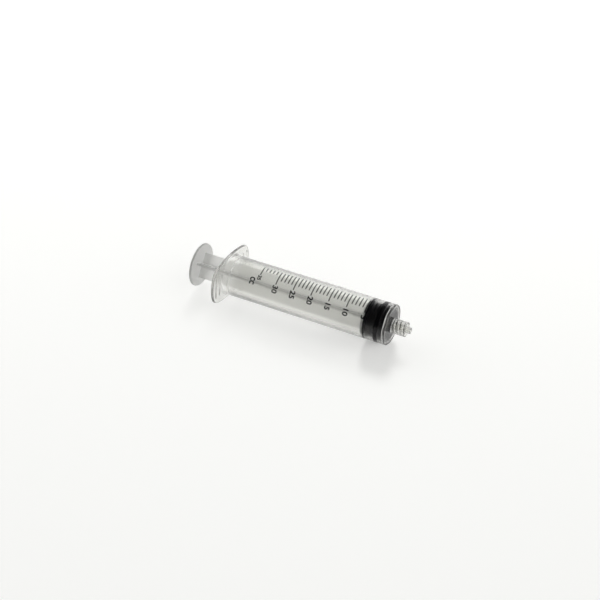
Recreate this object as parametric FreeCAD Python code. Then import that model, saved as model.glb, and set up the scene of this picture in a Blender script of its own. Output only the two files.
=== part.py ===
"""Luer lock syringe, 35 mL, lying on its side with the plunger pushed home.

Millimetres. The syringe's axis is the X axis, with the nozzle towards +X and the thumb disc
towards -X. The origin is on that axis in the outside face of the barrel's front wall, where
the nozzle leaves it. The finger flange lies flat, its long way along Y. +Z is up.
"""
import FreeCAD, Part
import math
import os

Vector = FreeCAD.Vector
AXIS_POINT = Vector(0, 0, 0)
AXIS = Vector(1, 0, 0)

# Barrel tube
CAPACITY_ML = 35
BARREL_BORE = 23.2
BARREL_WALL = 1.15
FRONT_WALL = 1.7
FRONT_EDGE_CHAMFER = 0.6
FRONT_INSIDE_CHAMFER = 0.4
LAST_MARK_TO_FLANGE = 23.5

# Ring inside the barrel's open end, which stops the rubber from being pulled out
BEAD_TO_FLANGE = 3.8
BEAD_WIDTH = 1.4
BEAD_HEIGHT = 0.35
MOUTH_CHAMFER = 0.6

# Finger flange: how far it reaches past the barrel, and the radii of its outline
FLANGE_THICKNESS = 1.8
FLANGE_WING = 10.4
FLANGE_LIP = 1.7
FLANGE_SIDE_RADIUS = 60.0
FLANGE_END_RADIUS = 22.0
FLANGE_CORNER_RADIUS = 8.0
FLANGE_EDGE_CHAMFER = 0.4
FLANGE_ROOT_CHAMFER = 0.6
GRIP_BARS_PER_WING = 2
GRIP_BAR_FROM_BARREL = 2.4
GRIP_BAR_PITCH = 4.4
GRIP_BAR_LENGTH = 14.0
GRIP_BAR_WIDTH = 1.0
GRIP_BAR_HEIGHT = 0.5
GRIP_BAR_CHAMFER = 0.2

# Luer lock connector: a cone with the standard 6 % taper inside a collar
NOZZLE_REACH = 12.0
NOZZLE_END_RADIUS = 1.97
NOZZLE_TAPER = 0.06
NOZZLE_BORE = 2.2
NOZZLE_END_CHAMFER = 0.3
COLLAR_REACH = 9.5
COLLAR_OUTSIDE = 9.2
COLLAR_INSIDE = 8.0
COLLAR_FLOOR = 1.2
COLLAR_ROOT_CHAMFER = 0.5
COLLAR_EDGE_CHAMFER = 0.2

# Rubber stopper
HOME_GAP = 0.1
SEAL_CLEARANCE = 0.03
STOPPER_FACE_STEP = 1.0
STOPPER_NOSE_STEP = 0.3
STOPPER_FACE_CHAMFER = 0.6
STOPPER_NOSE = 3.0
FRONT_RING_WIDTH = 2.8
STOPPER_WAIST = 5.0
WAIST_DEPTH = 0.9
RING_FLANK = 0.3
REAR_RING_WIDTH = 1.5

# Snap head of the plunger, held in the stopper's undercut pocket, where it can turn
NECK_RADIUS = 3.2
NECK_LENGTH = 3.0
HEAD_RADIUS = 5.2
HEAD_LENGTH = 2.5
HEAD_CONE_LENGTH = 3.0
HEAD_CONE_RADIUS = 2.4
SWIVEL_CLEARANCE = 0.08

# Plunger rod
BACKING_DISC_CLEARANCE = 0.5
BACKING_DISC_THICKNESS = 1.5
ROD_CLEARANCE = 3.54
RIB_THICKNESS = 1.5
RIB_EDGE_ROUND = 0.35
RIB_ROOT_ROUND = 0.8
ROD_TURN = 147.0
THUMB_STANDOFF = 19.1
THUMB_DISC_RADIUS = 13.8
THUMB_DISC_THICKNESS = 1.8
THUMB_EDGE_CHAMFER = 0.4
THUMB_RING_RADII = (8.0, 11.0)
THUMB_RING_WIDTH = 1.0
THUMB_RING_HEIGHT = 0.3

# Printed scales: angles are about the axis, from +Y towards +Z. The ink lies a hair's breadth
# off the barrel, so that the two never share a face.
INK_CLEARANCE = 0.05
INK_THICKNESS = 0.04
ZERO_LINE_TO_WALL = 1.3
MARK_WIDTH = 0.6
MARK_START = 91.0
LONG_MARK_SWEEP = 43.0
MEDIUM_MARK_SWEEP = 30.0
SHORT_MARK_SWEEP = 14.5
LONG_MARK_EVERY = 5
SHORT_MARKS_FROM = 31
OUNCE_ML = 29.5735
OUNCE_DIVISION = 8
OUNCE_MARK_START = 36.0
OUNCE_LONG_SWEEP = 26.0
OUNCE_SHORT_SWEEP = 22.0

# How far a cutting shape runs past the face that it opens, and how near a place counts as the same
CUT_OVERRUN = 1.0
SAME_PLACE = 0.001

# Sizes that follow from those above
bore_radius = BARREL_BORE / 2
barrel_radius = bore_radius + BARREL_WALL
ml_length = 1000.0 / (math.pi * bore_radius ** 2)
wall_inside_x = -FRONT_WALL
zero_x = wall_inside_x - ZERO_LINE_TO_WALL
last_mark_x = zero_x - CAPACITY_ML * ml_length
flange_front_x = last_mark_x - LAST_MARK_TO_FLANGE
flange_rear_x = flange_front_x - FLANGE_THICKNESS
bead_x = flange_front_x + BEAD_TO_FLANGE
stopper_front_x = wall_inside_x - HOME_GAP
front_ring_x = stopper_front_x - STOPPER_NOSE
waist_front_x = front_ring_x - FRONT_RING_WIDTH
waist_rear_x = waist_front_x - STOPPER_WAIST - 2 * RING_FLANK
stopper_rear_x = waist_rear_x - REAR_RING_WIDTH
backing_front_x = stopper_rear_x - SWIVEL_CLEARANCE
backing_rear_x = backing_front_x - BACKING_DISC_THICKNESS
thumb_front_x = flange_rear_x - THUMB_STANDOFF
thumb_rear_x = thumb_front_x - THUMB_DISC_THICKNESS
rod_radius = bore_radius - ROD_CLEARANCE


def turned(outline):
    """A solid of revolution about the syringe's axis from (x, radius) points."""
    points = [Vector(x, radius, 0) for x, radius in outline]
    face = Part.Face(Part.makePolygon(points + points[:1]))
    return face.revolve(AXIS_POINT, AXIS, 360)


def round_bar(rear_x, front_x, radius):
    """A round bar on the axis."""
    return Part.makeCylinder(radius, front_x - rear_x, Vector(rear_x, 0, 0), AXIS)


def edges_along_axis(solid, least_radius, most_radius):
    """Straight edges parallel to the axis whose distance from it lies between two radii."""
    found = []
    for edge in solid.Edges:
        if isinstance(edge.Curve, Part.Line) and abs(edge.tangentAt(edge.FirstParameter).x) > 0.999:
            middle = edge.CenterOfMass
            if least_radius < math.hypot(middle.y, middle.z) < most_radius:
                found.append(edge)
    return found


def oval_outline(x, half_length, half_width):
    """The flange's outline: long sides, ends and corners are arcs that run into each other."""
    side_centre = half_width - FLANGE_SIDE_RADIUS
    end_centre = half_length - FLANGE_END_RADIUS
    side_reach = FLANGE_SIDE_RADIUS - FLANGE_CORNER_RADIUS
    end_reach = FLANGE_END_RADIUS - FLANGE_CORNER_RADIUS
    apart = math.hypot(end_centre, side_centre)
    along = (side_reach ** 2 - end_reach ** 2 + apart ** 2) / (2 * apart)
    across = math.sqrt(side_reach ** 2 - along ** 2)
    toward_y = end_centre / apart
    toward_z = -side_centre / apart
    corner_y = along * toward_y + across * toward_z
    corner_z = side_centre + along * toward_z - across * toward_y
    side_scale = FLANGE_SIDE_RADIUS / side_reach
    end_scale = FLANGE_END_RADIUS / end_reach
    side_point = (corner_y * side_scale, side_centre + (corner_z - side_centre) * side_scale)
    end_point = (end_centre + (corner_y - end_centre) * end_scale, corner_z * end_scale)
    middle_angle = (math.atan2(side_point[1] - corner_z, side_point[0] - corner_y)
                    + math.atan2(end_point[1] - corner_z, end_point[0] - corner_y)) / 2
    corner_point = (corner_y + FLANGE_CORNER_RADIUS * math.cos(middle_angle),
                    corner_z + FLANGE_CORNER_RADIUS * math.sin(middle_angle))

    def at(point, y_sign, z_sign):
        return Vector(x, y_sign * point[0], z_sign * point[1])

    arcs = [
        Part.Arc(at(side_point, -1, 1), Vector(x, 0, half_width), at(side_point, 1, 1)),
        Part.Arc(at(side_point, 1, 1), at(corner_point, 1, 1), at(end_point, 1, 1)),
        Part.Arc(at(end_point, 1, 1), Vector(x, half_length, 0), at(end_point, 1, -1)),
        Part.Arc(at(end_point, 1, -1), at(corner_point, 1, -1), at(side_point, 1, -1)),
        Part.Arc(at(side_point, 1, -1), Vector(x, 0, -half_width), at(side_point, -1, -1)),
        Part.Arc(at(side_point, -1, -1), at(corner_point, -1, -1), at(end_point, -1, -1)),
        Part.Arc(at(end_point, -1, -1), Vector(x, -half_length, 0), at(end_point, -1, 1)),
        Part.Arc(at(end_point, -1, 1), at(corner_point, -1, 1), at(side_point, -1, 1)),
    ]
    return Part.Wire([arc.toShape() for arc in arcs])


def grip_bar(y):
    """One raised bar across a wing of the flange, on the side where the fingers pull."""
    corner = Vector(flange_front_x - GRIP_BAR_HEIGHT, y - GRIP_BAR_WIDTH / 2, -GRIP_BAR_LENGTH / 2)
    bar = Part.makeBox(2 * GRIP_BAR_HEIGHT, GRIP_BAR_WIDTH, GRIP_BAR_LENGTH, corner)
    top_x = flange_front_x + GRIP_BAR_HEIGHT
    top_edges = [edge for edge in bar.Edges if abs(edge.CenterOfMass.x - top_x) < SAME_PLACE]
    return bar.makeChamfer(GRIP_BAR_CHAMFER, top_edges)


def flange():
    """Finger flange: an oval plate with raised grip bars on both wings."""
    outline = oval_outline(flange_rear_x, barrel_radius + FLANGE_WING, barrel_radius + FLANGE_LIP)
    plate = Part.Face(outline).extrude(Vector(FLANGE_THICKNESS, 0, 0))
    rims = [edge for edge in plate.Edges if abs(edge.tangentAt(edge.FirstParameter).x) < 0.5]
    plate = plate.makeChamfer(FLANGE_EDGE_CHAMFER, rims)
    bars = []
    for number in range(GRIP_BARS_PER_WING):
        y = barrel_radius + GRIP_BAR_FROM_BARREL + number * GRIP_BAR_PITCH
        bars += [grip_bar(y), grip_bar(-y)]
    return plate.fuse(bars)


def barrel_inside():
    """The space inside the barrel, narrowed where the retaining ring stands on the wall."""
    return turned([
        (wall_inside_x, 0),
        (wall_inside_x, bore_radius - FRONT_INSIDE_CHAMFER),
        (wall_inside_x - FRONT_INSIDE_CHAMFER, bore_radius),
        (bead_x + BEAD_WIDTH / 2, bore_radius),
        (bead_x, bore_radius - BEAD_HEIGHT),
        (bead_x - BEAD_WIDTH / 2, bore_radius),
        (flange_rear_x + MOUTH_CHAMFER, bore_radius),
        (flange_rear_x, bore_radius + MOUTH_CHAMFER),
        (flange_rear_x - CUT_OVERRUN, bore_radius + MOUTH_CHAMFER),
        (flange_rear_x - CUT_OVERRUN, 0),
    ])


def barrel_outside():
    """Outside of the tube and the lock collar, filled in."""
    collar_radius = COLLAR_OUTSIDE / 2
    return turned([
        (flange_rear_x, 0),
        (flange_rear_x, barrel_radius),
        (flange_front_x, barrel_radius + FLANGE_ROOT_CHAMFER),
        (flange_front_x + FLANGE_ROOT_CHAMFER, barrel_radius),
        (-FRONT_EDGE_CHAMFER, barrel_radius),
        (0, barrel_radius - FRONT_EDGE_CHAMFER),
        (0, collar_radius + COLLAR_ROOT_CHAMFER),
        (COLLAR_ROOT_CHAMFER, collar_radius),
        (COLLAR_REACH - COLLAR_EDGE_CHAMFER, collar_radius),
        (COLLAR_REACH, collar_radius - COLLAR_EDGE_CHAMFER),
        (COLLAR_REACH, 0),
    ])


def nozzle():
    """Solid luer cone that stands in the collar and reaches past it."""
    slope = NOZZLE_TAPER / 2
    return turned([
        (0, 0),
        (0, NOZZLE_END_RADIUS + slope * NOZZLE_REACH),
        (NOZZLE_REACH - NOZZLE_END_CHAMFER, NOZZLE_END_RADIUS + slope * NOZZLE_END_CHAMFER),
        (NOZZLE_REACH, NOZZLE_END_RADIUS - NOZZLE_END_CHAMFER),
        (NOZZLE_REACH, 0),
    ])


def barrel():
    """Barrel, flange, front wall, nozzle and lock collar, moulded as one piece."""
    body = barrel_outside().fuse(flange()).removeSplitter()
    body = body.cut(round_bar(COLLAR_FLOOR, COLLAR_REACH + CUT_OVERRUN, COLLAR_INSIDE / 2))
    body = body.fuse(nozzle())
    fluid_path = round_bar(wall_inside_x - CUT_OVERRUN, NOZZLE_REACH + CUT_OVERRUN, NOZZLE_BORE / 2)
    return body.cut(fluid_path).cut(barrel_inside())


def pocket_outline(clearance, opening_x):
    """Outline of the snap head, grown by a clearance for the pocket that holds it."""
    neck = NECK_RADIUS + clearance
    head = HEAD_RADIUS + clearance
    neck_x = backing_front_x + NECK_LENGTH - clearance
    head_x = backing_front_x + NECK_LENGTH + HEAD_LENGTH + clearance
    tip_x = head_x + HEAD_CONE_LENGTH
    return [
        (opening_x, 0),
        (opening_x, neck),
        (neck_x, neck),
        (neck_x, head),
        (head_x, head),
        (tip_x, HEAD_CONE_RADIUS + clearance),
        (tip_x, 0),
    ]


def stopper():
    """Black rubber stopper: nose, front seal, waist, rear seal and an undercut pocket."""
    seal_radius = bore_radius - SEAL_CLEARANCE
    nose_radius = seal_radius - STOPPER_NOSE_STEP
    waist_radius = seal_radius - WAIST_DEPTH
    body = turned([
        (stopper_front_x, 0),
        (stopper_front_x, seal_radius - STOPPER_FACE_STEP),
        (stopper_front_x - STOPPER_FACE_CHAMFER, nose_radius),
        (front_ring_x + STOPPER_NOSE_STEP, nose_radius),
        (front_ring_x, seal_radius),
        (waist_front_x, seal_radius),
        (waist_front_x - RING_FLANK, waist_radius),
        (waist_rear_x + RING_FLANK, waist_radius),
        (waist_rear_x, seal_radius),
        (stopper_rear_x, seal_radius),
        (stopper_rear_x, 0),
    ])
    return body.cut(turned(pocket_outline(SWIVEL_CLEARANCE, stopper_rear_x - CUT_OVERRUN)))


def thumb_disc():
    """Round thumb rest with raised rings on its outer face."""
    outline = [
        (thumb_front_x, 0),
        (thumb_front_x, THUMB_DISC_RADIUS - THUMB_EDGE_CHAMFER),
        (thumb_front_x - THUMB_EDGE_CHAMFER, THUMB_DISC_RADIUS),
        (thumb_rear_x + THUMB_EDGE_CHAMFER, THUMB_DISC_RADIUS),
        (thumb_rear_x, THUMB_DISC_RADIUS - THUMB_EDGE_CHAMFER),
    ]
    for radius in sorted(THUMB_RING_RADII, reverse=True):
        outline += [
            (thumb_rear_x, radius + THUMB_RING_WIDTH / 2),
            (thumb_rear_x - THUMB_RING_HEIGHT, radius),
            (thumb_rear_x, radius - THUMB_RING_WIDTH / 2),
        ]
    outline.append((thumb_rear_x, 0))
    return turned(outline)


def cross_ribs():
    """The rod's four ribs, as a cross along the axis, between the two discs."""
    length = backing_rear_x - thumb_front_x
    corner = Vector(thumb_front_x, -rod_radius, -RIB_THICKNESS / 2)
    web = Part.makeBox(length, 2 * rod_radius, RIB_THICKNESS, corner)
    other_web = web.copy()
    other_web.rotate(AXIS_POINT, AXIS, 90)
    cross = web.fuse(other_web).removeSplitter()
    cross = cross.makeFillet(RIB_ROOT_ROUND, edges_along_axis(cross, 0, RIB_THICKNESS))
    rib_edges = edges_along_axis(cross, rod_radius - RIB_THICKNESS, rod_radius + RIB_THICKNESS)
    cross = cross.makeFillet(RIB_EDGE_ROUND, rib_edges)
    cross.rotate(AXIS_POINT, AXIS, ROD_TURN)
    return cross


def plunger():
    """Thumb disc, ribbed rod, backing disc and snap head, moulded as one piece."""
    backing = round_bar(backing_rear_x, backing_front_x, bore_radius - BACKING_DISC_CLEARANCE)
    head = turned(pocket_outline(0, backing_front_x - BACKING_DISC_THICKNESS / 2))
    return thumb_disc().fuse([cross_ribs(), backing, head]).removeSplitter()


def mark(x, start_angle, sweep):
    """One printed line round part of the barrel."""
    half = MARK_WIDTH / 2
    inner = barrel_radius + INK_CLEARANCE
    outer = inner + INK_THICKNESS
    section = Part.Face(Part.makePolygon([
        Vector(x - half, inner, 0),
        Vector(x + half, inner, 0),
        Vector(x + half, outer, 0),
        Vector(x - half, outer, 0),
        Vector(x - half, inner, 0),
    ]))
    section.rotate(AXIS_POINT, AXIS, start_angle)
    return section.revolve(AXIS_POINT, AXIS, sweep)


def millilitre_marks():
    """A line for each millilitre: long at the numbers, short near the full end."""
    marks = []
    for ml in range(CAPACITY_ML + 1):
        if ml == CAPACITY_ML:
            sweep = MEDIUM_MARK_SWEEP
        elif ml % LONG_MARK_EVERY == 0:
            sweep = LONG_MARK_SWEEP
        elif ml >= SHORT_MARKS_FROM:
            sweep = SHORT_MARK_SWEEP
        else:
            sweep = MEDIUM_MARK_SWEEP
        marks.append(mark(zero_x - ml * ml_length, MARK_START, sweep))
    return Part.makeCompound(marks)


def ounce_marks():
    """A line for each eighth of a fluid ounce, longer at the quarters."""
    step_ml = OUNCE_ML / OUNCE_DIVISION
    marks = []
    for eighth in range(1, int(CAPACITY_ML / step_ml) + 1):
        sweep = OUNCE_LONG_SWEEP if eighth % 2 == 0 else OUNCE_SHORT_SWEEP
        marks.append(mark(zero_x - eighth * step_ml * ml_length, OUNCE_MARK_START, sweep))
    return Part.makeCompound(marks)


PIECES = {
    "barrel": barrel,
    "stopper": stopper,
    "plunger": plunger,
    "millilitre_marks": millilitre_marks,
    "ounce_marks": ounce_marks,
}

os.makedirs("parts", exist_ok=True)
for name, make in PIECES.items():
    shape = make()
    shape.exportStep("parts/" + name + ".step")
    print(name, "solids", len(shape.Solids), "valid", shape.isValid(),
          "volume", round(shape.Volume, 2))
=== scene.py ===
"""Looks of the luer lock syringe: clear barrel, milky plunger, black stopper and printed scale.

Sections and outlines are in millimetres, as (x, radius) points along the syringe's axis, and angles
round the axis run from +Y towards +Z. Every piece is scaled to metres when its mesh is made.
"""
import bpy
import bmesh
import math
import numpy as np
from mathutils import Matrix, Vector
from mathutils.geometry import delaunay_2d_cdt


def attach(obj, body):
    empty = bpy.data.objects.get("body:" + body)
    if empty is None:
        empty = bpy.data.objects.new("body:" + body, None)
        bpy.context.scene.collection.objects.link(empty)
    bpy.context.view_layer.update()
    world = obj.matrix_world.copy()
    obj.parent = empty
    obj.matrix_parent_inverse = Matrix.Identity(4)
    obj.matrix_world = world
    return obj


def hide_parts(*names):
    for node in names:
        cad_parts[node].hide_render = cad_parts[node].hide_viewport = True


MM = 0.001

# Flat faces that close a skin at the axis reach this far from it
CAP_RADIUS = 0.4

# Barrel
BARREL_BORE_RADIUS = 11.6
BARREL_RADIUS = 12.75
FRONT_WALL = 1.7
FRONT_EDGE_ROUND = 0.8
FRONT_INSIDE_ROUND = 0.6
ZERO_X = -3.0
ML_LENGTH = 2.36556
CAPACITY_ML = 35
LAST_LINE_TO_FLANGE = 23.5
FLANGE_FRONT_X = ZERO_X - CAPACITY_ML * ML_LENGTH - LAST_LINE_TO_FLANGE
FLANGE_THICKNESS = 1.8
FLANGE_REAR_X = FLANGE_FRONT_X - FLANGE_THICKNESS
RETAINING_RING_TO_FLANGE = 3.8
RETAINING_RING_X = FLANGE_FRONT_X + RETAINING_RING_TO_FLANGE
RETAINING_RING_WIDTH = 1.6
RETAINING_RING_HEIGHT = 0.35
RETAINING_RING_STEPS = 12
MOUTH_CHAMFER = 0.6
MOUTH_ROUND = 0.3

# Finger flange
FLANGE_WING = 10.4
FLANGE_LIP = 1.7
FLANGE_HALF_LENGTH = BARREL_RADIUS + FLANGE_WING
FLANGE_HALF_WIDTH = BARREL_RADIUS + FLANGE_LIP
FLANGE_SIDE_RADIUS = 60.0
FLANGE_END_RADIUS = 22.0
FLANGE_CORNER_RADIUS = 8.0
FLANGE_EDGE_ROUND = 0.5
FLANGE_ROOT_ROUND = 0.8
GRIP_BARS_FROM_BARREL = (2.4, 6.8)
GRIP_BAR_PLACES = [BARREL_RADIUS + gap for gap in GRIP_BARS_FROM_BARREL]
GRIP_BAR_WIDTH = 1.0
GRIP_BAR_LENGTH = 14.0
GRIP_BAR_HEIGHT = 0.5
GRIP_BAR_ROUND = 0.3
GRIP_BAR_CORNER_RADIUS = 0.45

# Luer lock connector
NOZZLE_REACH = 12.0
NOZZLE_END_RADIUS = 1.97
NOZZLE_SLOPE = 0.03
NOZZLE_BORE_RADIUS = 1.1
NOZZLE_FOOT_ROUND = 0.3
NOZZLE_END_ROUND = 0.3
NOZZLE_MOUTH_ROUND = 0.1
NOZZLE_INLET_ROUND = 0.15
COLLAR_REACH = 9.5
COLLAR_RADIUS = 4.6
COLLAR_BORE_RADIUS = 4.0
COLLAR_FLOOR = 1.2
COLLAR_FLOOR_ROUND = 0.2
COLLAR_FOOT_ROUND = 0.6
COLLAR_RIM_ROUND = 0.2
COLLAR_MOUTH_ROUND = 0.15
THREAD_LEAD = 5.0
THREAD_STARTS = 2
THREAD_HEIGHT = 0.5
THREAD_CREST = 0.18
THREAD_FLANK = 0.2
THREAD_PLAIN_ENDS = 0.3
THREAD_FULL_FROM_END = 1.0
THREAD_RINGS_FROM_END = 0.4
THREAD_RING_SPACING = 0.12
COLLAR_PLAIN_END = 0.28

# Stopper; its nose and its seals touch the barrel by CONTACT, so that black shows through the plastic
HOME_GAP = 0.1
CONTACT = 0.01
STOPPER_FRONT_X = -FRONT_WALL - HOME_GAP
PRESSED_X = -FRONT_WALL + CONTACT
PRESSED_RADIUS = 9.3
PRESSED_SLOPE = 0.4
STOPPER_FACE_RADIUS = 10.9
STOPPER_FACE_SLOPE = 0.5
STOPPER_NOSE_RADIUS = 11.27
STOPPER_WAIST_RADIUS = 10.67
SEAL_CONTACT_RADIUS = BARREL_BORE_RADIUS + CONTACT
SEAL_SLOPE = 0.4
FRONT_SEAL_FROM_X = -4.8
FRONT_SEAL_TO_X = -7.6
REAR_SEAL_FROM_X = -13.2
STOPPER_REAR_X = -14.7
RUBBER_ROUND = 0.3
FACE_EDGE_ROUND = 0.4
STEP_ROUND = 0.1
SEAL_FOOT_ROUND = 0.15
SEAL_FRONT_ROUND = 0.25
STOPPER_REAR_ROUND = 0.2

# Plunger, and its snap head, which the stopper's pocket follows with SWIVEL_CLEARANCE all round
SWIVEL_CLEARANCE = 0.08
BACKING_FRONT_X = STOPPER_REAR_X - SWIVEL_CLEARANCE
BACKING_THICKNESS = 1.5
BACKING_CLEARANCE = 0.5
BACKING_RADIUS = BARREL_BORE_RADIUS - BACKING_CLEARANCE
BACKING_FLAT = 1.5
HEAD_ROUND = 0.3
NECK_ROUND = 0.2
NECK_RADIUS = 3.2
NECK_LENGTH = 3.0
NECK_END_X = BACKING_FRONT_X + NECK_LENGTH
HEAD_RADIUS = 5.2
HEAD_LENGTH = 2.5
HEAD_END_X = NECK_END_X + HEAD_LENGTH
HEAD_CONE_RADIUS = 2.4
HEAD_CONE_LENGTH = 3.0
HEAD_CONE_END_X = HEAD_END_X + HEAD_CONE_LENGTH
ROD_CLEARANCE = 3.54
ROD_RADIUS = BARREL_BORE_RADIUS - ROD_CLEARANCE
RIB_HALF = 0.75
RIB_EDGE_ROUND = 0.35
RIB_ROOT_ROUND = 0.8
RIB_END_ROUND = 0.5
ROD_TURN = math.radians(147.0)
THUMB_STANDOFF = 19.1
THUMB_FRONT_X = FLANGE_REAR_X - THUMB_STANDOFF
THUMB_THICKNESS = 1.8
THUMB_RADIUS = 13.8
THUMB_EDGE_ROUND = 0.5
THUMB_FLAT = 2
THUMB_RING_RADII = (8.0, 11.0)
THUMB_RING_WIDTH = 1.0
THUMB_RING_HEIGHT = 0.3
THUMB_RING_FOOT_ROUND = 0.15
THUMB_RING_TOP_ROUND = 0.25

# Printed scale; its angles are in degrees
INK_SUNK = 0.015
INK_RAISED = 0.035
INK_INNER = BARREL_RADIUS - INK_SUNK
INK_OUTER = BARREL_RADIUS + INK_RAISED
MARK_WIDTH = 0.6
MARK_START = 91.0
LONG_MARK_SWEEP = 43.0
MEDIUM_MARK_SWEEP = 30.0
SHORT_MARK_SWEEP = 14.5
SHORT_MARKS_FROM = 31
LONG_MARK_EVERY = 5
OUNCE_ML = 29.5735
OUNCE_DIVISION = 8
OUNCE_MARK_START = 36.0
OUNCE_LONG_SWEEP = 26.0
OUNCE_SHORT_SWEEP = 22.0
NUMBER_HEIGHT = 3.3
NUMBER_ANGLE = 147.5
NUMBER_STRETCH = 1.08
LAST_NUMBER_HEIGHT = 2.3
LAST_NUMBER_ANGLE = 129.5
UNIT_HEIGHT = 4.6
UNIT_ANGLE = 142.5
UNIT_STRETCH = 0.85
UNIT_SPACING = 0.95
UNIT_BEHIND_LAST_LINE = 3.2
LETTER_BOLDNESS = 0.13
DIGIT_SHARE_OF_SIZE = 0.7

# Plastics; the density, for each metre, says how fast they darken with depth
PLASTIC_IOR = 1.49
SATIN_ROUGHNESS = 0.27
CLEAR_DENSITY = 8.0
MILKY_DENSITY = 35.0
RIPPLE_DEPTH = 0.2
HAZE_SCALE = 900.0
TONE_FADE = 0.9
CONNECTOR_FROM_X = 0.1
# Painted shade on the thumb disc: its darker grey begins this far in front of the disc's front face
THUMB_PAINTED_SHADE_FROM = 0.5

# Light and table
BEHIND = (-0.42, 0.9075, 0)
NEAR_SIDE = (0.29, -0.65, 0.48)
UPWARDS = (0, 0, 1)
TO_THE_RIGHT = (1, 0, 0)
TO_THE_LEFT = (-1, 0, 0)
BACK_BRIGHTNESS = 0.88
RIGHT_BRIGHTNESS = 2.5
LEFT_BRIGHTNESS = 0.8
ROOM_BRIGHTNESS = 0.006
TABLE_GLOW = 0.34
TABLE_HALF = 1.5
TABLE_GAP = 0.03
LAMP_PLACE = Vector((-0.69, 1.5, 1.16))
LAMP_AIM = Vector((-0.06, 0, 0))
LAMP_POWER = 17.0
LAMP_SIZE = 0.4

# Camera, in metres
CAMERA_PLACE = Vector((0.2388, -0.64867, 0.47862))
CAMERA_RIGHT = Vector((0.89313, 0.44744, 0.046))
CAMERA_UP = Vector((-0.28465, 0.48305, 0.82803))
CAMERA_LENS_MM = 84.49
CAMERA_SENSOR_MM = 36.0
CAMERA_NEAR = 0.05
CAMERA_FAR = 20.0

# Fineness of the meshes
TURN_STEPS = 384
STOPPER_STEPS = 256
ARC_STEPS = 6
SMALL_ARC_STEPS = 4
RIB_EDGE_POINTS = 6
RIB_SIDE_POINTS = 16
INK_STEP_ANGLE = 2
LETTER_CUT = 0.3
LETTER_MERGE = 0.004
LETTER_SLIVER = 0.001
LETTER_CURVE_STEPS = 8
SUPPORT = 0.05
SAME_POINT = 1e-4
FLAT_TOLERANCE = 1e-6
ALL_TRIANGLES = 0
SHARP_ANGLE = math.radians(38)


def smoothstep(low, high, value):
    """0 below low, 1 above high, and an S between."""
    t = np.clip((value - low) / (high - low), 0.0, 1.0)
    return t * t * (3 - 2 * t)


def rounded_section(corners, steps=ARC_STEPS):
    """Section points from (x, radius, rounding) corners, with a support point where each flat begins."""
    points = [np.array(corner[:2], float) for corner in corners]
    section = [points[0]]
    for index in range(1, len(corners) - 1):
        here, rounding = points[index], corners[index][2]
        back = points[index - 1] - here
        ahead = points[index + 1] - here
        back /= np.linalg.norm(back)
        ahead /= np.linalg.norm(ahead)
        if rounding == 0:
            section.append(here)
            continue
        half = math.acos(np.clip(back @ ahead, -1, 1)) / 2
        reach = rounding / math.tan(half)
        middle = (back + ahead) / np.linalg.norm(back + ahead)
        centre = here + middle * rounding / math.sin(half)
        first = here + back * reach - centre
        last = here + ahead * reach - centre
        turn = math.pi - 2 * half
        section.append(centre + first + back * SUPPORT)
        for step in range(steps + 1):
            a = turn * step / steps
            section.append(centre + (math.sin(turn - a) * first + math.sin(a) * last) / math.sin(turn))
        section.append(centre + last + ahead * SUPPORT)
    section.append(points[-1])
    return section


def circle(x, radius, angles):
    """Points round the axis at one place along it; radius may change with the angle."""
    radius = np.broadcast_to(radius, angles.shape)
    return np.stack([np.full(angles.shape, x), radius * np.cos(angles), radius * np.sin(angles)], 1)


class Skin:
    """Closed skin of a moulded piece, put together from rings of points."""

    def __init__(self):
        self.points = []
        self.faces = []
        self.count = 0

    def ring(self, points):
        """Adds points and returns their numbers."""
        self.points.append(np.asarray(points, float))
        numbers = np.arange(self.count, self.count + len(points))
        self.count += len(points)
        return numbers

    def rings(self, all_points):
        """Adds rings and bridges each to the next; returns the first and the last."""
        numbers = [self.ring(points) for points in all_points]
        for one, other in zip(numbers, numbers[1:]):
            self.bridge(one, other)
        return numbers[0], numbers[-1]

    def bridge(self, one, other):
        """Fills the band between two rings of as many points."""
        quads = np.stack([one, np.roll(one, -1), np.roll(other, -1), other], 1)
        self.faces += quads.tolist()

    def cap(self, ring):
        """Closes a ring with one flat face."""
        self.faces.append(ring.tolist())

    def piece(self, name, body, slot, material, replaces=()):
        """Makes the piece, in metres, riding on its body."""
        mesh = bpy.data.meshes.new(name)
        mesh.from_pydata((np.concatenate(self.points) * MM).tolist(), [], self.faces)
        shape = bmesh.new()
        shape.from_mesh(mesh)
        bmesh.ops.recalc_face_normals(shape, faces=shape.faces)
        shape.to_mesh(mesh)
        shape.free()
        mesh.shade_smooth()
        mesh.set_sharp_from_angle(angle=SHARP_ANGLE)
        mesh.materials.append(material)
        piece = bpy.data.objects.new(name, mesh)
        bpy.context.scene.collection.objects.link(piece)
        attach(piece, body)
        if replaces:
            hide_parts(*replaces)


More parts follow.
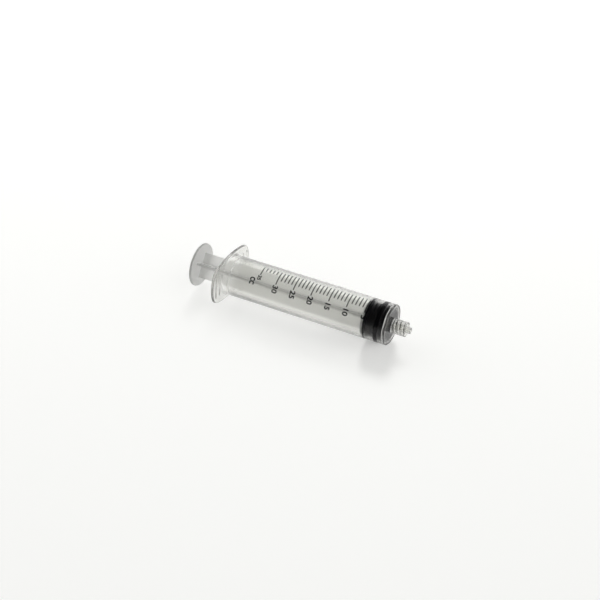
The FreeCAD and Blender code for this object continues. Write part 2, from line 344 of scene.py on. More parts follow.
def oval_radius(angles, inset):
    """Distance from the axis to the flange's outline, set in by some distance, at each angle."""
    side_centre = FLANGE_HALF_WIDTH - FLANGE_SIDE_RADIUS
    end_centre = FLANGE_HALF_LENGTH - FLANGE_END_RADIUS
    side_reach = FLANGE_SIDE_RADIUS - FLANGE_CORNER_RADIUS
    end_reach = FLANGE_END_RADIUS - FLANGE_CORNER_RADIUS
    apart = math.hypot(end_centre, side_centre)
    along = (side_reach ** 2 - end_reach ** 2 + apart ** 2) / (2 * apart)
    across = math.sqrt(side_reach ** 2 - along ** 2)
    toward = np.array([end_centre, -side_centre]) / apart
    corner = np.array([0, side_centre]) + along * toward + across * np.array([toward[1], -toward[0]])
    side = np.array([0.0, side_centre])
    end = np.array([end_centre, 0.0])
    side_joint = side + (corner - side) * (FLANGE_SIDE_RADIUS - inset) / side_reach
    end_joint = end + (corner - end) * (FLANGE_END_RADIUS - inset) / end_reach
    folded = np.arctan2(np.abs(np.sin(angles)), np.abs(np.cos(angles)))
    ray = np.stack([np.cos(folded), np.sin(folded)], 1)

    def far_side(centre, radius):
        """Where each ray from the axis leaves one of the outline's circles."""
        along_ray = ray @ centre
        return along_ray + np.sqrt(radius ** 2 - centre @ centre + along_ray ** 2)

    on_side = far_side(side, FLANGE_SIDE_RADIUS - inset)
    on_end = far_side(end, FLANGE_END_RADIUS - inset)
    corner_root = (ray @ corner) ** 2 - corner @ corner + (FLANGE_CORNER_RADIUS - inset) ** 2
    on_corner = ray @ corner + np.sqrt(np.maximum(corner_root, 0))
    side_angle = math.atan2(side_joint[1], side_joint[0])
    end_angle = math.atan2(end_joint[1], end_joint[0])
    return np.where(folded > side_angle, on_side, np.where(folded < end_angle, on_end, on_corner))


def flange_rim(angles):
    """Rings from the flange's rear face round its edge to its front face."""
    rings = []
    for step in range(ARC_STEPS + 1):
        a = math.pi / 2 * step / ARC_STEPS
        inset = FLANGE_EDGE_ROUND * (1 - math.sin(a))
        x = FLANGE_REAR_X + FLANGE_EDGE_ROUND * (1 - math.cos(a))
        rings.append(circle(x, oval_radius(angles, inset), angles))
    front = [ring * (-1, 1, 1) + (FLANGE_REAR_X + FLANGE_FRONT_X, 0, 0) for ring in rings[::-1]]
    flat_inset = FLANGE_EDGE_ROUND + SUPPORT
    first = circle(FLANGE_REAR_X, oval_radius(angles, flat_inset), angles)
    last = circle(FLANGE_FRONT_X, oval_radius(angles, flat_inset), angles)
    return [first] + rings + front + [last]


def grip_bar_outline(y, inset):
    """Rounded rectangle of one grip bar, as (y, z) points, set in by some distance."""
    across = GRIP_BAR_WIDTH / 2 - GRIP_BAR_CORNER_RADIUS
    along = GRIP_BAR_LENGTH / 2 - GRIP_BAR_CORNER_RADIUS
    round_radius = GRIP_BAR_CORNER_RADIUS - inset
    outline = []
    for quarter, (sign_y, sign_z) in enumerate(((1, 1), (-1, 1), (-1, -1), (1, -1))):
        for step in range(ARC_STEPS):
            a = (quarter + step / (ARC_STEPS - 1)) * math.pi / 2
            outline.append((y + sign_y * across + round_radius * math.cos(a),
                            sign_z * along + round_radius * math.sin(a)))
    return outline


def flange_front_face(skin, outer, inner, outer_points, inner_points):
    """Flat front of the flange between its rim and the barrel's root, with its raised grip bars."""
    flat = [tuple(point[1:]) for point in outer_points] + [tuple(point[1:]) for point in inner_points]
    numbers = list(outer) + list(inner)
    loops = [list(range(len(outer))), list(range(len(outer), len(flat)))]
    bars = [sign * place for place in GRIP_BAR_PLACES for sign in (1, -1)]
    for y in bars:
        outline = grip_bar_outline(y, 0.0)
        foot = skin.ring([(FLANGE_FRONT_X, *point) for point in outline])
        loops.append(list(range(len(flat), len(flat) + len(outline))))
        flat += outline
        numbers += list(foot)
        below = foot
        for step in range(-1, ARC_STEPS + 1):
            a = math.pi / 2 * max(step, 0) / ARC_STEPS
            inset = GRIP_BAR_ROUND * (1 - math.cos(a))
            x = FLANGE_FRONT_X + GRIP_BAR_HEIGHT - GRIP_BAR_ROUND * (1 - math.sin(a))
            if step < 0:
                x -= SUPPORT
            level = skin.ring([(x, *point) for point in grip_bar_outline(y, inset)])
            skin.bridge(below, level)
            below = level
        skin.cap(below)
    edges = [(loop[i], loop[(i + 1) % len(loop)]) for loop in loops for i in range(len(loop))]
    made = delaunay_2d_cdt([Vector(point) for point in flat], edges, [], ALL_TRIANGLES, FLAT_TOLERANCE)
    corners, faces, sources = made[0], made[2], made[3]
    place = [numbers[source[0]] for source in sources]
    feet = [set(numbers[i] for i in loop) for loop in loops[2:]]
    root_radius = np.linalg.norm(inner_points[0][1:])
    for face in faces:
        middle = sum((corners[corner] for corner in face), Vector((0, 0))) / len(face)
        on_bar = any(abs(middle.x - y) < GRIP_BAR_WIDTH / 2 and abs(middle.y) < GRIP_BAR_LENGTH / 2
                     and all(place[corner] in foot for corner in face)
                     for y, foot in zip(bars, feet))
        if middle.length > root_radius and not on_bar:
            skin.faces.append([int(place[corner]) for corner in face])


def thread_radius(x, angles):
    """Radius of the collar's inside, with the ridges of its right-hand thread."""
    turn = x * THREAD_STARTS / THREAD_LEAD - angles * THREAD_STARTS / (2 * math.pi)
    from_crest = np.abs((turn % 1.0) - 0.5)
    ridge = 1 - smoothstep(THREAD_CREST / 2, THREAD_CREST / 2 + THREAD_FLANK, from_crest)
    fade = smoothstep(COLLAR_FLOOR + THREAD_PLAIN_ENDS, COLLAR_FLOOR + THREAD_FULL_FROM_END, x)
    fade *= 1 - smoothstep(COLLAR_REACH - THREAD_FULL_FROM_END, COLLAR_REACH - THREAD_PLAIN_ENDS, x)
    return COLLAR_BORE_RADIUS - THREAD_HEIGHT * ridge * fade


def build_barrel(material):
    """Tube, flange, front wall, threaded collar and luer cone: one continuous skin."""
    angles = np.linspace(0, 2 * math.pi, TURN_STEPS, endpoint=False)
    root_top = BARREL_RADIUS + FLANGE_ROOT_ROUND + SUPPORT
    outside = rounded_section([
        (FLANGE_FRONT_X, root_top, 0),
        (FLANGE_FRONT_X, BARREL_RADIUS, FLANGE_ROOT_ROUND),
        (0, BARREL_RADIUS, FRONT_EDGE_ROUND),
        (0, COLLAR_RADIUS, COLLAR_FOOT_ROUND),
        (COLLAR_REACH, COLLAR_RADIUS, COLLAR_RIM_ROUND),
        (COLLAR_REACH, COLLAR_BORE_RADIUS, COLLAR_MOUTH_ROUND),
        (COLLAR_REACH - COLLAR_PLAIN_END, COLLAR_BORE_RADIUS, 0),
    ])[1:]
    cone_root = NOZZLE_END_RADIUS + NOZZLE_SLOPE * (NOZZLE_REACH - COLLAR_FLOOR)
    inside = rounded_section([
        (COLLAR_FLOOR + COLLAR_PLAIN_END, COLLAR_BORE_RADIUS, 0),
        (COLLAR_FLOOR, COLLAR_BORE_RADIUS, COLLAR_FLOOR_ROUND),
        (COLLAR_FLOOR, cone_root, NOZZLE_FOOT_ROUND),
        (NOZZLE_REACH, NOZZLE_END_RADIUS, NOZZLE_END_ROUND),
        (NOZZLE_REACH, NOZZLE_BORE_RADIUS, NOZZLE_MOUTH_ROUND),
        (-FRONT_WALL, NOZZLE_BORE_RADIUS, NOZZLE_INLET_ROUND),
        (-FRONT_WALL, BARREL_BORE_RADIUS, FRONT_INSIDE_ROUND),
        (RETAINING_RING_X + RETAINING_RING_WIDTH / 2, BARREL_BORE_RADIUS, 0),
    ])
    ring_section = []
    for step in range(1, RETAINING_RING_STEPS):
        share = step / RETAINING_RING_STEPS
        height = RETAINING_RING_HEIGHT * math.sin(math.pi * share) ** 2
        ring_section.append((RETAINING_RING_X + RETAINING_RING_WIDTH * (0.5 - share),
                             BARREL_BORE_RADIUS - height))
    mouth = rounded_section([
        (RETAINING_RING_X - RETAINING_RING_WIDTH / 2, BARREL_BORE_RADIUS, 0),
        (FLANGE_REAR_X + MOUTH_CHAMFER, BARREL_BORE_RADIUS, MOUTH_ROUND),
        (FLANGE_REAR_X, BARREL_BORE_RADIUS + MOUTH_CHAMFER, MOUTH_ROUND),
        (FLANGE_REAR_X, BARREL_RADIUS, 0),
    ], SMALL_ARC_STEPS)
    thread_front = COLLAR_REACH - THREAD_RINGS_FROM_END
    thread_rear = COLLAR_FLOOR + THREAD_RINGS_FROM_END
    thread_places = np.arange(thread_front, thread_rear, -THREAD_RING_SPACING)
    rings = [circle(x, r, angles) for x, r in outside]
    rings += [circle(x, thread_radius(x, angles), angles) for x in thread_places]
    rings += [circle(x, r, angles) for x, r in inside + ring_section + mouth]
    rings += flange_rim(angles)
    skin = Skin()
    first, last = skin.rings(rings)
    flange_front_face(skin, last, first, rings[-1], rings[0])
    skin.piece("clear_barrel", "barrel", "clear_plastic", material, ["barrel"])


def build_stopper(material):
    """Rubber stopper: nose pressed on the front wall, two seals and a pocket for the plunger's head."""
    angles = np.linspace(0, 2 * math.pi, STOPPER_STEPS, endpoint=False)
    seal = SEAL_CONTACT_RADIUS
    room = SWIVEL_CLEARANCE
    section = rounded_section([
        (PRESSED_X, CAP_RADIUS, 0),
        (PRESSED_X, PRESSED_RADIUS, STEP_ROUND),
        (STOPPER_FRONT_X, PRESSED_RADIUS + PRESSED_SLOPE, STEP_ROUND),
        (STOPPER_FRONT_X, STOPPER_FACE_RADIUS, FACE_EDGE_ROUND),
        (STOPPER_FRONT_X - STOPPER_FACE_SLOPE, STOPPER_NOSE_RADIUS, RUBBER_ROUND),
        (FRONT_SEAL_FROM_X + SEAL_SLOPE, STOPPER_NOSE_RADIUS, SEAL_FOOT_ROUND),
        (FRONT_SEAL_FROM_X, seal, SEAL_FRONT_ROUND),
        (FRONT_SEAL_TO_X, seal, RUBBER_ROUND),
        (FRONT_SEAL_TO_X - SEAL_SLOPE, STOPPER_WAIST_RADIUS, RUBBER_ROUND),
        (REAR_SEAL_FROM_X + SEAL_SLOPE, STOPPER_WAIST_RADIUS, RUBBER_ROUND),
        (REAR_SEAL_FROM_X, seal, RUBBER_ROUND),
        (STOPPER_REAR_X, seal, STOPPER_REAR_ROUND),
        (STOPPER_REAR_X, NECK_RADIUS + room, STEP_ROUND),
        (NECK_END_X - room, NECK_RADIUS + room, STEP_ROUND),
        (NECK_END_X - room, HEAD_RADIUS + room, STEP_ROUND),
        (HEAD_END_X + room, HEAD_RADIUS + room, RUBBER_ROUND),
        (HEAD_CONE_END_X + room, HEAD_CONE_RADIUS + room, RUBBER_ROUND),
        (HEAD_CONE_END_X + room, CAP_RADIUS, 0),
    ], SMALL_ARC_STEPS)
    skin = Skin()
    first, last = skin.rings([circle(x, r, angles) for x, r in section])
    skin.cap(first)
    skin.cap(last)
    skin.piece("rubber_stopper", "stopper", "black_rubber", material, ["stopper"])


def rod_outline():
    """The rod's cross, as (y, z) points and outward normals, dense where it is round."""
    points = []
    normals = []
    tip = ROD_RADIUS
    edge = tip - RIB_EDGE_ROUND
    for y in np.linspace(0, RIB_HALF - RIB_EDGE_ROUND, 3)[:-1]:
        points.append((tip, y))
        normals.append((1, 0))
    for a in np.linspace(0, math.pi / 2, RIB_EDGE_POINTS):
        points.append((edge + RIB_EDGE_ROUND * math.cos(a),
                       RIB_HALF - RIB_EDGE_ROUND + RIB_EDGE_ROUND * math.sin(a)))
        normals.append((math.cos(a), math.sin(a)))
    root = RIB_HALF + RIB_ROOT_ROUND
    start, stop = math.atan2(RIB_HALF, edge - SUPPORT), math.atan2(RIB_HALF, root + SUPPORT)
    for a in np.linspace(start, stop, RIB_SIDE_POINTS):
        points.append((RIB_HALF / math.tan(a), RIB_HALF))
        normals.append((0, 1))
    for a in np.linspace(math.pi / 2, math.pi / 4, RIB_EDGE_POINTS):
        points.append((root - RIB_ROOT_ROUND * math.cos(a), root - RIB_ROOT_ROUND * math.sin(a)))
        normals.append((math.cos(a), math.sin(a)))
    points, normals = np.array(points), np.array(normals, float)
    mirrored = points[-2::-1][:, ::-1], normals[-2::-1][:, ::-1]
    points = np.concatenate([points, mirrored[0][:-1]])
    normals = np.concatenate([normals, mirrored[1][:-1]])
    all_points = []
    all_normals = []
    for quarter in range(4):
        a = ROD_TURN + quarter * math.pi / 2
        turn = np.array([[math.cos(a), math.sin(a)], [-math.sin(a), math.cos(a)]])
        all_points.append(points @ turn)
        all_normals.append(normals @ turn)
    return np.concatenate(all_points), np.concatenate(all_normals)


def build_plunger(material):
    """Thumb disc, cross-shaped rod, backing disc and snap head: one continuous skin."""
    cross, outward = rod_outline()
    angles = np.arctan2(cross[:, 1], cross[:, 0])

    def cross_ring(x, growth=0.0):
        """The rod's outline at one place, grown outwards by some distance."""
        grown = cross + outward * growth
        return np.column_stack([np.full(len(cross), x), grown])

    rear_x = THUMB_FRONT_X - THUMB_THICKNESS
    rings_up = []
    for radius in THUMB_RING_RADII:
        rings_up += [(rear_x, radius - THUMB_RING_WIDTH / 2, THUMB_RING_FOOT_ROUND),
                     (rear_x - THUMB_RING_HEIGHT, radius, THUMB_RING_TOP_ROUND),
                     (rear_x, radius + THUMB_RING_WIDTH / 2, THUMB_RING_FOOT_ROUND)]
    thumb = rounded_section(
        [(rear_x, CAP_RADIUS, 0)] + rings_up
        + [(rear_x, THUMB_RADIUS, THUMB_EDGE_ROUND), (THUMB_FRONT_X, THUMB_RADIUS, THUMB_EDGE_ROUND),
           (THUMB_FRONT_X, THUMB_RADIUS - THUMB_FLAT, 0)])
    backing_rear_x = BACKING_FRONT_X - BACKING_THICKNESS
    backing = rounded_section([
        (backing_rear_x, BACKING_RADIUS - BACKING_FLAT, 0),
        (backing_rear_x, BACKING_RADIUS, HEAD_ROUND),
        (BACKING_FRONT_X, BACKING_RADIUS, HEAD_ROUND),
        (BACKING_FRONT_X, NECK_RADIUS, NECK_ROUND),
        (NECK_END_X, NECK_RADIUS, NECK_ROUND),
        (NECK_END_X, HEAD_RADIUS, HEAD_ROUND),
        (HEAD_END_X, HEAD_RADIUS, HEAD_ROUND),
        (HEAD_CONE_END_X, HEAD_CONE_RADIUS, HEAD_ROUND),
        (HEAD_CONE_END_X, CAP_RADIUS, 0),
    ], SMALL_ARC_STEPS)
    foot = []
    for step in range(ARC_STEPS + 1):
        a = math.pi / 2 * step / ARC_STEPS
        foot.append((RIB_END_ROUND * (1 - math.cos(a)), RIB_END_ROUND * (1 - math.sin(a))))
    rings = [circle(x, r, angles) for x, r in thumb]
    rings.append(cross_ring(THUMB_FRONT_X, RIB_END_ROUND + SUPPORT))
    rings += [cross_ring(THUMB_FRONT_X + rise, growth) for growth, rise in foot[::-1]]
    rings.append(cross_ring(THUMB_FRONT_X + RIB_END_ROUND + SUPPORT))
    rings.append(cross_ring(backing_rear_x - RIB_END_ROUND - SUPPORT))
    rings += [cross_ring(backing_rear_x - rise, growth) for growth, rise in foot]
    rings.append(cross_ring(backing_rear_x, RIB_END_ROUND + SUPPORT))
    rings += [circle(x, r, angles) for x, r in backing]
    skin = Skin()
    first, last = skin.rings(rings)
    skin.cap(first)
    skin.cap(last)
    skin.piece("milky_plunger", "plunger", "natural_plastic", material, ["plunger"])


def printed_line(skin, x, start, sweep):
    """One printed line round part of the barrel."""
    steps = round(sweep / INK_STEP_ANGLE)
    rear, front = x - MARK_WIDTH / 2, x + MARK_WIDTH / 2
    corners = ((rear, INK_INNER), (front, INK_INNER), (front, INK_OUTER), (rear, INK_OUTER))
    sections = []
    for a in np.radians(np.linspace(start, start + sweep, steps + 1)):
        sections.append([(place, radius * math.cos(a), radius * math.sin(a)) for place, radius in corners])
    first, last = skin.rings(sections)
    skin.cap(first)
    skin.cap(last)


def build_millilitre_lines(material):
    """A line for each millilitre, long at the numbers and short near the full end."""
    skin = Skin()
    for ml in range(CAPACITY_ML + 1):
        if ml % LONG_MARK_EVERY == 0 and ml < CAPACITY_ML:
            sweep = LONG_MARK_SWEEP
        elif SHORT_MARKS_FROM <= ml < CAPACITY_ML:
            sweep = SHORT_MARK_SWEEP
        else:
            sweep = MEDIUM_MARK_SWEEP
        printed_line(skin, ZERO_X - ml * ML_LENGTH, MARK_START, sweep)
    skin.piece("millilitre_lines", "barrel", "black_ink", material, ["millilitre_marks"])


def build_ounce_lines(material):
    """A line for each eighth of a fluid ounce, longer at the quarters."""
    skin = Skin()
    eighth_ml = OUNCE_ML / OUNCE_DIVISION
    for eighth in range(1, int(CAPACITY_ML / eighth_ml) + 1):
        sweep = OUNCE_LONG_SWEEP if eighth % 2 == 0 else OUNCE_SHORT_SWEEP
        printed_line(skin, ZERO_X - eighth * eighth_ml * ML_LENGTH, OUNCE_MARK_START, sweep)
    skin.piece("ounce_lines", "barrel", "black_ink", material, ["ounce_marks"])


def printed_word(name, words, height, x, middle_angle, material, stretch=1.0, spacing=1.0):
    """Characters printed on the barrel, their tops towards the nozzle, read round the axis."""
    letters = bpy.data.curves.new(name, "FONT")
    letters.body = words
    letters.size = height * MM / DIGIT_SHARE_OF_SIZE
    letters.align_x = "CENTER"
    letters.align_y = "CENTER"
    letters.extrude = (INK_OUTER - INK_INNER) / 2 * MM
    letters.offset = LETTER_BOLDNESS * MM
    letters.space_character = spacing
    letters.resolution_u = LETTER_CURVE_STEPS
    flat = bpy.data.objects.new(name + "_flat", letters)
    bpy.context.scene.collection.objects.link(flat)
    bpy.context.view_layer.update()
    mesh = bpy.data.meshes.new_from_object(flat)
    bpy.data.objects.remove(flat)
    shape = bmesh.new()
    shape.from_mesh(mesh)
    bmesh.ops.remove_doubles(shape, verts=shape.verts, dist=SAME_POINT * MM)
    reach = max(abs(vertex.co.x) for vertex in shape.verts)
    for cut in np.arange(-reach, reach, LETTER_CUT * MM):
        everything = shape.verts[:] + shape.edges[:] + shape.faces[:]
        bmesh.ops.bisect_plane(shape, geom=everything, plane_co=(cut, 0, 0), plane_no=(1, 0, 0))
    middle_radius = (INK_INNER + INK_OUTER) / 2
    for vertex in shape.verts:
        along, up, out = (value / MM for value in vertex.co)
        angle = math.radians(middle_angle) + along * stretch / BARREL_RADIUS
        radius = middle_radius + out
        vertex.co = Vector((x + up, radius * math.cos(angle), radius * math.sin(angle))) * MM
    bmesh.ops.remove_doubles(shape, verts=shape.verts, dist=LETTER_MERGE * MM)
    bmesh.ops.dissolve_degenerate(shape, edges=shape.edges, dist=LETTER_SLIVER * MM)
    bmesh.ops.recalc_face_normals(shape, faces=shape.faces)
    shape.to_mesh(mesh)
    shape.free()
    mesh.materials.clear()
    mesh.materials.append(material)
    piece = bpy.data.objects.new(name, mesh)
    bpy.context.scene.collection.objects.link(piece)
    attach(piece, "barrel")


def build_numbers(material):
    """The scale's numbers beside their long lines, and its unit."""
    for ml in range(LONG_MARK_EVERY, CAPACITY_ML, LONG_MARK_EVERY):
        printed_word("number_%d" % ml, str(ml), NUMBER_HEIGHT, ZERO_X - ml * ML_LENGTH, NUMBER_ANGLE,
                     material, NUMBER_STRETCH)
    last_x = ZERO_X - CAPACITY_ML * ML_LENGTH
    printed_word("number_35", "35", LAST_NUMBER_HEIGHT, last_x, LAST_NUMBER_ANGLE, material)
    printed_word("unit_cc", "cc", UNIT_HEIGHT, last_x - UNIT_BEHIND_LAST_LINE, UNIT_ANGLE,
                 material, UNIT_STRETCH, UNIT_SPACING)


def shader_material(name):
    """A material with its nodes, its shader and its output."""
    material = bpy.data.materials.new(name)
    material.use_nodes = True
    nodes = material.node_tree.nodes
    return material, nodes, material.node_tree.links, nodes["Principled BSDF"]


def make_moulded_surface():
    """Group: slow ripples and a fine haze, as on an injection-moulded skin."""
    group = bpy.data.node_groups.new("moulded surface", "ShaderNodeTree")
    ports = group.interface
    inputs = (("Ripple Size", 6.0), ("Ripple Height", 0.1), ("Smooth", 0.05), ("Rough", 0.1))
    for name, value in inputs:
        socket = ports.new_socket(name, in_out="INPUT", socket_type="NodeSocketFloat")
        socket.default_value = value
    ports.new_socket("Roughness", in_out="OUTPUT", socket_type="NodeSocketFloat")
    ports.new_socket("Normal", in_out="OUTPUT", socket_type="NodeSocketVector")
    nodes, links = group.nodes, group.links
    given = nodes.new("NodeGroupInput")
    result = nodes.new("NodeGroupOutput")
    place = nodes.new("ShaderNodeTexCoord")
    metres = nodes.new("ShaderNodeMath")
    metres.operation = "DIVIDE"
    metres.inputs[0].default_value = 1 / MM
    ripple = nodes.new("ShaderNodeTexNoise")
    ripple.inputs["Detail"].default_value = 1.0
    haze = nodes.new("ShaderNodeTexNoise")
    haze.inputs["Scale"].default_value = HAZE_SCALE
    haze.inputs["Detail"].default_value = 3.0
    spread = nodes.new("ShaderNodeMapRange")
    bump = nodes.new("ShaderNodeBump")
    bump.inputs["Distance"].default_value = RIPPLE_DEPTH * MM
    links.new(given.outputs["Ripple Size"], metres.inputs[1])
    links.new(metres.outputs[0], ripple.inputs["Scale"])
    links.new(place.outputs["Object"], ripple.inputs["Vector"])
    links.new(place.outputs["Object"], haze.inputs["Vector"])
    links.new(haze.outputs["Fac"], spread.inputs["Value"])
    links.new(given.outputs["Smooth"], spread.inputs["To Min"])
    links.new(given.outputs["Rough"], spread.inputs["To Max"])
    links.new(ripple.outputs["Fac"], bump.inputs["Height"])
    links.new(given.outputs["Ripple Height"], bump.inputs["Strength"])
    links.new(spread.outputs["Result"], result.inputs["Roughness"])
    links.new(bump.outputs["Normal"], result.inputs["Normal"])
    return group


def place_moulded_surface(group, nodes, links, shader, ripple_size, ripple_height, smooth, rough):
    """Puts the moulded surface into a material with its own values."""
    surface = nodes.new("ShaderNodeGroup")
    surface.node_tree = group
    surface.inputs["Ripple Size"].default_value = ripple_size
    surface.inputs["Ripple Height"].default_value = ripple_height
    surface.inputs["Smooth"].default_value = smooth
    surface.inputs["Rough"].default_value = rough
    links.new(surface.outputs["Roughness"], shader.inputs["Roughness"])
    links.new(surface.outputs["Normal"], shader.inputs["Normal"])


def tinted(nodes, links, shader, scale, one, other):
    """Feeds the shader's colour with two near tones in soft clouds."""
    place = nodes.new("ShaderNodeTexCoord")
    clouds = nodes.new("ShaderNodeTexNoise")
    clouds.inputs["Scale"].default_value = scale
    tones = nodes.new("ShaderNodeMix")
    tones.data_type = "RGBA"
    tones.inputs["A"].default_value = (*one, 1)
    tones.inputs["B"].default_value = (*other, 1)
    links.new(place.outputs["Object"], clouds.inputs["Vector"])
    links.new(clouds.outputs["Fac"], tones.inputs["Factor"])
    links.new(tones.outputs["Result"], shader.inputs["Base Color"])


def let_light_through(nodes, links, shader, tone):
    """Direct and bounced light passes the clear plastic instead of being stopped by it."""
    path = nodes.new("ShaderNodeLightPath")
    either = nodes.new("ShaderNodeMath")
    either.operation = "MAXIMUM"
    passing = nodes.new("ShaderNodeBsdfTransparent")
    passing.inputs["Color"].default_value = (*tone, 1)
    choice = nodes.new("ShaderNodeMixShader")
    links.new(path.outputs["Is Shadow Ray"], either.inputs[0])
    links.new(path.outputs["Is Diffuse Ray"], either.inputs[1])
    links.new(either.outputs[0], choice.inputs["Fac"])
    links.new(shader.outputs["BSDF"], choice.inputs[1])
    links.new(passing.outputs["BSDF"], choice.inputs[2])
    links.new(choice.outputs["Shader"], nodes["Material Output"].inputs["Surface"])


def darkens_with_depth(nodes, links, tone, density):
    """Light fades along its way through the plastic, so thick places look darker than thin ones."""
    depth = nodes.new("ShaderNodeVolumeAbsorption")
    depth.inputs["Color"].default_value = (*tone, 1)
    depth.inputs["Density"].default_value = density
    links.new(depth.outputs["Volume"], nodes["Material Output"].inputs["Volume"])


def make_far_from():
    """Group: 0 near a place along the syringe's axis and 1 farther from it than some reach."""
    group = bpy.data.node_groups.new("far from a place", "ShaderNodeTree")
    for name in ("Place", "Reach", "Fade"):
        group.interface.new_socket(name, in_out="INPUT", socket_type="NodeSocketFloat")
    group.interface.new_socket("Far", in_out="OUTPUT", socket_type="NodeSocketFloat")
    nodes, links = group.nodes, group.links
    given = nodes.new("NodeGroupInput")
    result = nodes.new("NodeGroupOutput")
    place = nodes.new("ShaderNodeTexCoord")
    parts = nodes.new("ShaderNodeSeparateXYZ")
    operations = []
    for operation in ("SUBTRACT", "ABSOLUTE", "ADD"):
        step = nodes.new("ShaderNodeMath")
        step.operation = operation
        operations.append(step)
    offset, distance, faded = operations
    far = nodes.new("ShaderNodeMapRange")
    links.new(place.outputs["Object"], parts.inputs["Vector"])
    links.new(parts.outputs["X"], offset.inputs[0])
    links.new(given.outputs["Place"], offset.inputs[1])
    links.new(offset.outputs[0], distance.inputs[0])
    links.new(given.outputs["Reach"], faded.inputs[0])
    links.new(given.outputs["Fade"], faded.inputs[1])
    links.new(distance.outputs[0], far.inputs["Value"])
    links.new(given.outputs["Reach"], far.inputs["From Min"])
    links.new(faded.outputs[0], far.inputs["From Max"])
    links.new(far.outputs["Result"], result.inputs["Far"])
    return group


def changes_far_from(group, nodes, links, shader, place, reach, tone, roughness):
    """Blends to another tone and roughness away from a place: on the barrel a greyer satin, as where a
    moulding is thicker, and on the plunger painted shade on the thumb disc.
    """
    far = nodes.new("ShaderNodeGroup")
    far.node_tree = group
    far.inputs["Place"].default_value = place * MM
    far.inputs["Reach"].default_value = reach * MM
    far.inputs["Fade"].default_value = TONE_FADE * MM
    colour = nodes.new("ShaderNodeMix")
    colour.data_type = "RGBA"
    colour.inputs["B"].default_value = (*tone, 1)
    rough = nodes.new("ShaderNodeMix")
    rough.inputs["B"].default_value = roughness
    for blend, name in ((colour, "Base Color"), (rough, "Roughness")):
        links.new(far.outputs["Far"], blend.inputs["Factor"])
        links.new(shader.inputs[name].links[0].from_socket, blend.inputs["A"])
        links.new(blend.outputs["Result"], shader.inputs[name])


def clear_plastic(moulded, far_from):
    """Clear moulded plastic of the barrel, with a greyer satin on the flange and the connector."""
    material, nodes, links, shader = shader_material("clear polypropylene")
    shader.inputs["Transmission Weight"].default_value = 1.0
    shader.inputs["IOR"].default_value = PLASTIC_IOR
    shader.inputs["Specular Tint"].default_value = (0.45, 0.45, 0.45, 1)
    tinted(nodes, links, shader, scale=40, one=(0.97, 0.97, 0.95), other=(0.98, 0.98, 0.96))
    place_moulded_surface(moulded, nodes, links, shader,
                          ripple_size=8.0, ripple_height=0.05, smooth=0.19, rough=0.24)
    middle = FLANGE_FRONT_X / 2
    changes_far_from(far_from, nodes, links, shader, place=middle, reach=CONNECTOR_FROM_X - middle,
                     tone=(0.88, 0.88, 0.86), roughness=SATIN_ROUGHNESS)
    let_light_through(nodes, links, shader, tone=(0.97, 0.97, 0.97))
    darkens_with_depth(nodes, links, tone=(0.2, 0.2, 0.16), density=CLEAR_DENSITY)
    return material


def milky_plastic(moulded, far_from):
    """Milky plastic of the plunger, with painted shade on the thumb disc, which is given a darker grey."""
    material, nodes, links, shader = shader_material("milky polypropylene")
    shader.inputs["Transmission Weight"].default_value = 0.9
    shader.inputs["IOR"].default_value = PLASTIC_IOR
    tinted(nodes, links, shader, scale=60, one=(0.79, 0.79, 0.775), other=(0.83, 0.83, 0.815))
    place_moulded_surface(moulded, nodes, links, shader,
                          ripple_size=5.0, ripple_height=0.1, smooth=0.4, rough=0.5)
    # Painted shade: the thumb disc gets a darker grey than the rod, standing in for the shade it lies in
    changes_far_from(far_from, nodes, links, shader, place=0, reach=-THUMB_FRONT_X - THUMB_PAINTED_SHADE_FROM,
                     tone=(0.57, 0.57, 0.56), roughness=0.5)
    let_light_through(nodes, links, shader, tone=(0.95, 0.95, 0.95))
    darkens_with_depth(nodes, links, tone=(0.2, 0.2, 0.18), density=MILKY_DENSITY)
    return material


def black_rubber(moulded):
    """Soft black rubber of the stopper, with almost no gloss."""
    material, nodes, links, shader = shader_material("black rubber")
    shader.inputs["Specular IOR Level"].default_value = 0.05
    tinted(nodes, links, shader, scale=300, one=(0.0015, 0.0015, 0.002), other=(0.003, 0.003, 0.004))
    place_moulded_surface(moulded, nodes, links, shader,
                          ripple_size=2.0, ripple_height=0.08, smooth=0.42, rough=0.46)
    return material


def black_ink(moulded):
    """Matt black ink of the printed scale."""
    material, nodes, links, shader = shader_material("black ink")
    shader.inputs["Specular IOR Level"].default_value = 0.05
    tinted(nodes, links, shader, scale=700, one=(0.003, 0.003, 0.004), other=(0.01, 0.01, 0.012))
    place_moulded_surface(moulded, nodes, links, shader,
                          ripple_size=1.0, ripple_height=0.1, smooth=0.5, rough=0.7)
    return material


def build_floor():
    """Pale satin table, seen from above only; the syringe rests on its front edge and its flange."""
    material, nodes, links, shader = shader_material("pale table")
    shader.inputs["Base Color"].default_value = (0.86, 0.862, 0.845, 1)
    shader.inputs["Roughness"].default_value = 0.3
    shader.inputs["Specular IOR Level"].default_value = 0.2
    shader.inputs["Emission Color"].default_value = (1, 1, 0.98, 1)
    shader.inputs["Emission Strength"].default_value = TABLE_GLOW
    hidden = nodes.new("ShaderNodeBsdfTransparent")
    geometry = nodes.new("ShaderNodeNewGeometry")
    choice = nodes.new("ShaderNodeMixShader")
    links.new(geometry.outputs["Backfacing"], choice.inputs["Fac"])
    links.new(shader.outputs["BSDF"], choice.inputs[1])
    links.new(hidden.outputs["BSDF"], choice.inputs[2])
    links.new(choice.outputs["Shader"], nodes["Material Output"].inputs["Surface"])
    tilt = math.atan2(FLANGE_HALF_WIDTH - BARREL_RADIUS, -FLANGE_REAR_X)
    mesh = bpy.data.meshes.new("table")
    half = TABLE_HALF
    corners = [(-half, -half, 0), (half, -half, 0), (half, half, 0), (-half, half, 0)]
    mesh.from_pydata(corners, [], [(0, 1, 2, 3)])
    mesh.materials.append(material)
    floor = bpy.data.objects.new("table", mesh)
    floor.rotation_euler = (0, -tilt, 0)
    floor.location = (0, 0, -(BARREL_RADIUS + TABLE_GAP) * MM)
    bpy.context.scene.collection.objects.link(floor)


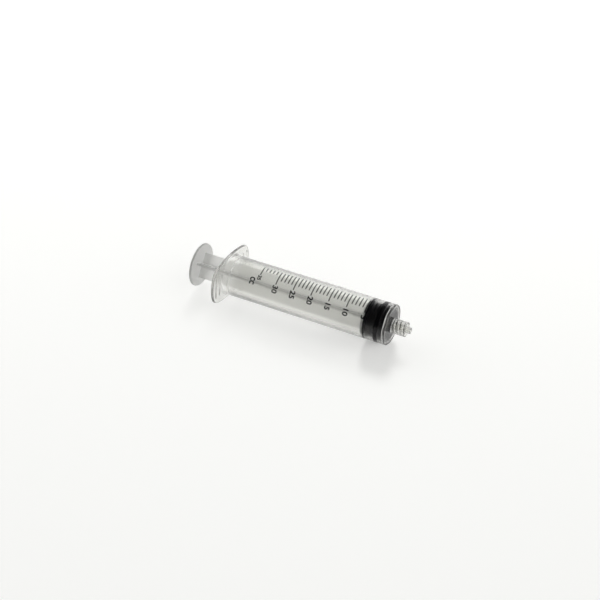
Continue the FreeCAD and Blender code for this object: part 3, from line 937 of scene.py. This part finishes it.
def build_light():
    """Bright walls behind and to both sides, a dark room on the near side, and a soft lamp behind.

    The camera sees plain white in place of the room, and so do reflections and refractions that
    look away from the near side.
    """
    world = bpy.data.worlds.new("studio")
    bpy.context.scene.world = world
    world.use_nodes = True
    nodes, links = world.node_tree.nodes, world.node_tree.links
    background = nodes["Background"]
    background.inputs["Color"].default_value = (1, 1, 1, 1)
    place = nodes.new("ShaderNodeTexCoord")
    path = nodes.new("ShaderNodeLightPath")

    def fades(toward, start, end, low, high):
        """A value that runs from low to high as a direction turns towards another."""
        facing = nodes.new("ShaderNodeVectorMath")
        facing.operation = "DOT_PRODUCT"
        facing.inputs[1].default_value = toward
        ramp = nodes.new("ShaderNodeMapRange")
        ramp.interpolation_type = "SMOOTHSTEP"
        for name, value in (("From Min", start), ("From Max", end), ("To Min", low), ("To Max", high)):
            ramp.inputs[name].default_value = value
        links.new(place.outputs["Generated"], facing.inputs[0])
        links.new(facing.outputs["Value"], ramp.inputs["Value"])
        return ramp.outputs["Result"]

    def combined(operation, *values):
        """Values put together by one operation."""
        step = nodes.new("ShaderNodeMath")
        step.operation = operation
        for number, value in enumerate(values):
            links.new(value, step.inputs[number])
        return step.outputs[0]

    back = fades(BEHIND, start=0.0, end=0.6, low=0.0, high=BACK_BRIGHTNESS)
    above_table = fades(UPWARDS, start=0.02, end=0.12, low=0.0, high=1.0)
    below_ceiling = fades(UPWARDS, start=0.5, end=0.8, low=1.0, high=0.0)
    low_down = combined("MULTIPLY", above_table, below_ceiling)
    right = fades(TO_THE_RIGHT, start=0.45, end=0.85, low=ROOM_BRIGHTNESS, high=RIGHT_BRIGHTNESS)
    left = fades(TO_THE_LEFT, start=0.65, end=0.95, low=0.0, high=LEFT_BRIGHTNESS)
    walls = combined("ADD", combined("MULTIPLY_ADD", back, low_down, right), left)
    strength = nodes.new("ShaderNodeMix")
    strength.inputs["B"].default_value = 1.0
    away = fades(NEAR_SIDE, start=-0.45, end=0.25, low=1.0, high=0.0)
    bent = combined("MAXIMUM", path.outputs["Is Glossy Ray"], path.outputs["Is Transmission Ray"])
    sees_backdrop = combined("MULTIPLY", bent, away)
    sees_white = combined("MAXIMUM", path.outputs["Is Camera Ray"], sees_backdrop)
    links.new(sees_white, strength.inputs["Factor"])
    links.new(walls, strength.inputs["A"])
    links.new(strength.outputs["Result"], background.inputs["Strength"])
    lamp = bpy.data.lights.new("softbox", "AREA")
    lamp.energy = LAMP_POWER
    lamp.size = LAMP_SIZE
    softbox = bpy.data.objects.new("softbox", lamp)
    softbox.location = LAMP_PLACE
    softbox.visible_glossy = False
    softbox.visible_transmission = False
    softbox.rotation_euler = (LAMP_AIM - LAMP_PLACE).to_track_quat("-Z", "Y").to_euler()
    bpy.context.scene.collection.objects.link(softbox)


def build_camera():
    """The photograph's viewpoint."""
    camera = bpy.data.cameras.new("camera")
    camera.lens = CAMERA_LENS_MM
    camera.sensor_width = CAMERA_SENSOR_MM
    camera.clip_start = CAMERA_NEAR
    camera.clip_end = CAMERA_FAR
    view = bpy.data.objects.new("camera", camera)
    back = CAMERA_RIGHT.cross(CAMERA_UP).normalized()
    up = back.cross(CAMERA_RIGHT).normalized()
    turn = Matrix((CAMERA_RIGHT.normalized(), up, back)).transposed()
    view.matrix_world = Matrix.Translation(CAMERA_PLACE) @ turn.to_4x4()
    bpy.context.scene.collection.objects.link(view)
    bpy.context.scene.camera = view


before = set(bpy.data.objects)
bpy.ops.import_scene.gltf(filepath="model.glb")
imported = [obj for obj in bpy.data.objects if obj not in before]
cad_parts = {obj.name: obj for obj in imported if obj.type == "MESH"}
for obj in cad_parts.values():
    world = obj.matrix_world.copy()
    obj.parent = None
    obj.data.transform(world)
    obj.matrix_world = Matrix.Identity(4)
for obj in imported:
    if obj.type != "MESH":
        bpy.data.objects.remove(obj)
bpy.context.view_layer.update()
bpy.context.scene.view_settings.view_transform = "Standard"
build_camera()
build_light()
build_floor()
moulded = make_moulded_surface()
far_from = make_far_from()
ink = black_ink(moulded)
build_barrel(clear_plastic(moulded, far_from))
build_plunger(milky_plastic(moulded, far_from))
build_stopper(black_rubber(moulded))
build_millilitre_lines(ink)
build_ounce_lines(ink)
build_numbers(ink)
